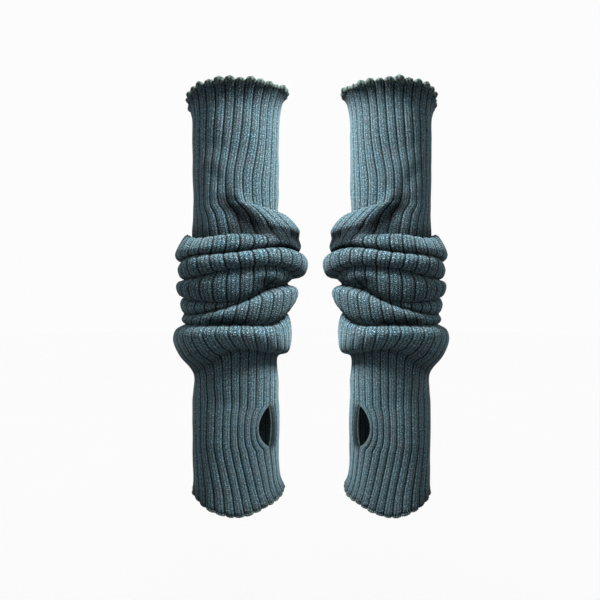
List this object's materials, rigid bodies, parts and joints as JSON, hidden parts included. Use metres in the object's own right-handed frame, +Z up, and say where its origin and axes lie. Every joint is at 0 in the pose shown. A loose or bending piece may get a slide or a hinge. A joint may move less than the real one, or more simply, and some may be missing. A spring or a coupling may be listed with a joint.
{
  "type": "pair of wrist warmers",
  "caption": "Pair of long rib-knit wrist warmers, hollow as if worn, bunched in rolls over the forearms, with ruffled ends and a thumb slit in each.",
  "frame": {"origin": "midway between the two wrists, at the height where each warmer meets its wearer's wrist", "axes": "+Z up the forearms towards the arm ends, -Y the front that faces the viewer with the backs of the hands, +X from the left warmer to the right one"},
  "size_m": [0.2544, 0.1121, 0.3841],
  "materials": {
    "rib_knit": "soft matt melange rib knit",
    "overlock_yarn": "matt overlock stitching in the same yarn"
  },
  "bodies": {
    "root": {"left_tube": "rib_knit", "left_arm_edging": "overlock_yarn", "left_hand_edging": "overlock_yarn", "left_thumb_edging": "overlock_yarn", "right_tube": "rib_knit", "right_arm_edging": "overlock_yarn", "right_hand_edging": "overlock_yarn", "right_thumb_edging": "overlock_yarn"}
  },
  "joints": []
}
